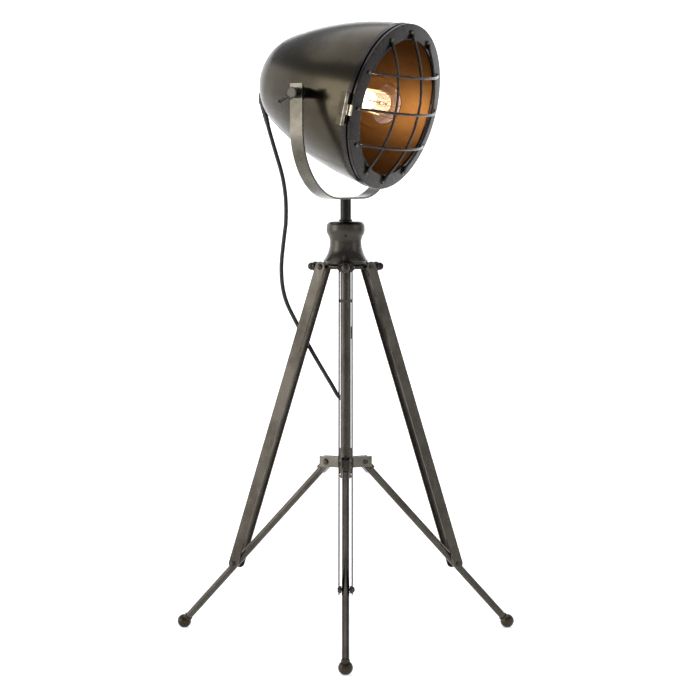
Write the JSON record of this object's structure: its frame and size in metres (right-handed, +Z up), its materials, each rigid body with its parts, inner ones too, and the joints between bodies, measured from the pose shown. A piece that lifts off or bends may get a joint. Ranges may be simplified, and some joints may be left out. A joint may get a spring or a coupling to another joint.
{
  "type": "tabletop searchlight lamp",
  "caption": "Tripod spotlight with a deep tilting bell shade, hinged wire guard, yoke, turned hub and folding legs.",
  "frame": {"origin": "on the floor, at the middle of the footprint's box", "axes": "+Z up, -Y toward the front leg; the head points between +X and -Y"},
  "size_m": [0.4194, 0.3654, 0.7459],
  "materials": {
    "dark_pewter": "worn satin antique finish",
    "shade_inside": "worn pewter outside, polished copper inside",
    "leg_steel": "dark aged steel with brown patches",
    "nickel": "dark, lightly tarnished",
    "aged_brass": "aged",
    "clear_glass": "clear, slightly warm",
    "filament": "glowing wire",
    "black_plastic": "moulded",
    "cord_black": "smooth cable jacket"
  },
  "bodies": {
    "stand": {"hub": "dark_pewter", "hub_base": "dark_pewter", "stem_tube": "dark_pewter", "swivel_screw": "nickel", "centre_post": "leg_steel", "post_cap": "dark_pewter", "arm_pins": "nickel", "arm_pin_spacers": "dark_pewter", "arm_front": "dark_pewter", "arm_right": "dark_pewter", "arm_left": "dark_pewter", "cord_lower": "cord_black", "cord_hank": "cord_black", "cord_ties": "black_plastic", "plug_body": "black_plastic", "plug_pins": "nickel", "switch_body": "black_plastic"},
    "spider": {"spider_sleeve": "leg_steel", "spider_brackets": "leg_steel", "spider_pins": "nickel"},
    "yoke": {"yoke": "dark_pewter"},
    "head": {"shade_shell": "shade_inside", "rim_band": "dark_pewter", "cable_bush": "black_plastic", "trunnion_spacers": "dark_pewter", "trunnion_nuts": "nickel", "hinge_leaf_shade": "nickel", "hinge_pin": "nickel", "catch_clip": "nickel", "lampholder_strap": "dark_pewter", "lampholder": "black_plastic", "lampholder_contacts": "aged_brass", "bulb_cap": "aged_brass", "bulb_glass": "clear_glass", "bulb_stem": "clear_glass", "bulb_filament": "filament", "cord_upper": "cord_black"},
    "guard_door": {"guard_ring": "dark_pewter", "guard_wires_upright": "dark_pewter", "guard_wires_level": "dark_pewter", "guard_rivets": "dark_pewter", "hinge_leaf_ring": "nickel"},
    "clamp_near": {"thumb_screw_near": "nickel", "tommy_bar_near": "nickel"},
    "clamp_far": {"thumb_screw_far": "nickel", "tommy_bar_far": "nickel"},
    "rocker": {"switch_rocker": "black_plastic"},
    "upper_front": {"upper_leg_front": "leg_steel", "pivot_pin_front": "nickel"},
    "lower_front": {"lower_leg_front": "leg_steel", "foot_front": "dark_pewter"},
    "upper_right": {"upper_leg_right": "leg_steel", "pivot_pin_right": "nickel"},
    "lower_right": {"lower_leg_right": "leg_steel", "foot_right": "dark_pewter"},
    "upper_left": {"upper_leg_left": "leg_steel", "pivot_pin_left": "nickel"},
    "lower_left": {"lower_leg_left": "leg_steel", "foot_left": "dark_pewter"}
  },
  "joints": [
    {"name": "yoke_swivel", "type": "hinge", "parent": "stand", "child": "yoke", "pos_m": [0, 0.05805, 0.536], "axis": [0, 0, 1], "range_deg": [-60, 60], "deforming": ["cord_lower"]},
    {"name": "head_tilt", "type": "hinge", "parent": "yoke", "child": "head", "pos_m": [0, 0.05805, 0.6599], "axis": [0.5129, 0.8584, 0], "range_deg": [-45, 45], "deforming": ["cord_upper"]},
    {"name": "guard_hinge", "type": "hinge", "parent": "head", "child": "guard_door", "pos_m": [0, -0.06368, 0.64585], "axis": [-0.1884, 0.1126, -0.9756], "range_deg": [0, 110]},
    {"name": "clamp_turn_near", "type": "hinge", "parent": "yoke", "child": "clamp_near", "pos_m": [-0.05745, -0.03809, 0.6599], "axis": [-0.5129, -0.8584, 0], "range_deg": [0, 180]},
    {"name": "clamp_turn_far", "type": "hinge", "parent": "yoke", "child": "clamp_far", "pos_m": [0.05745, 0.15419, 0.6599], "axis": [0.5129, 0.8584, 0], "range_deg": [0, 180]},
    {"name": "spider_slide", "type": "slide", "parent": "stand", "child": "spider", "axis": [0, 0, 1], "range_m": [0, 0.03307]},
    {"name": "rocker_tip", "type": "hinge", "parent": "stand", "child": "rocker", "pos_m": [0.0052, 0.12135, 0.371], "axis": [0, 1, 0], "range_deg": [-6, 6]},
    {"name": "leg_fold_front", "type": "hinge", "parent": "stand", "child": "upper_front", "pos_m": [0, 0.02705, 0.4536], "axis": [1, 0, 0], "range_deg": [0, 17.5]},
    {"name": "lower_fold_front", "type": "hinge", "parent": "upper_front", "child": "lower_front", "pos_m": [0, -0.09705, 0.0861], "axis": [1, 0, 0], "range_deg": [0, 22.68]},
    {"name": "leg_fold_right", "type": "hinge", "parent": "stand", "child": "upper_right", "pos_m": [0.02685, 0.07355, 0.4536], "axis": [-0.5, 0.866, 0], "range_deg": [0, 17.5]},
    {"name": "lower_fold_right", "type": "hinge", "parent": "upper_right", "child": "lower_right", "pos_m": [0.13432, 0.1356, 0.0861], "axis": [-0.5, 0.866, 0], "range_deg": [0, 22.68]},
    {"name": "leg_fold_left", "type": "hinge", "parent": "stand", "child": "upper_left", "pos_m": [-0.02685, 0.07355, 0.4536], "axis": [-0.5, -0.866, 0], "range_deg": [0, 17.5]},
    {"name": "lower_fold_left", "type": "hinge", "parent": "upper_left", "child": "lower_left", "pos_m": [-0.13432, 0.1356, 0.0861], "axis": [-0.5, -0.866, 0], "range_deg": [0, 22.68]}
  ],
  "couplings": [
    {"joint": "lower_fold_front", "follows": "leg_fold_front", "ratio": 1.2954},
    {"joint": "leg_fold_right", "follows": "leg_fold_front", "ratio": 1},
    {"joint": "lower_fold_right", "follows": "leg_fold_front", "ratio": 1.2954},
    {"joint": "leg_fold_left", "follows": "leg_fold_front", "ratio": 1},
    {"joint": "lower_fold_left", "follows": "leg_fold_front", "ratio": 1.2954},
    {"joint": "spider_slide", "follows": "leg_fold_front", "m_per_rad": 0.10823}
  ]
}
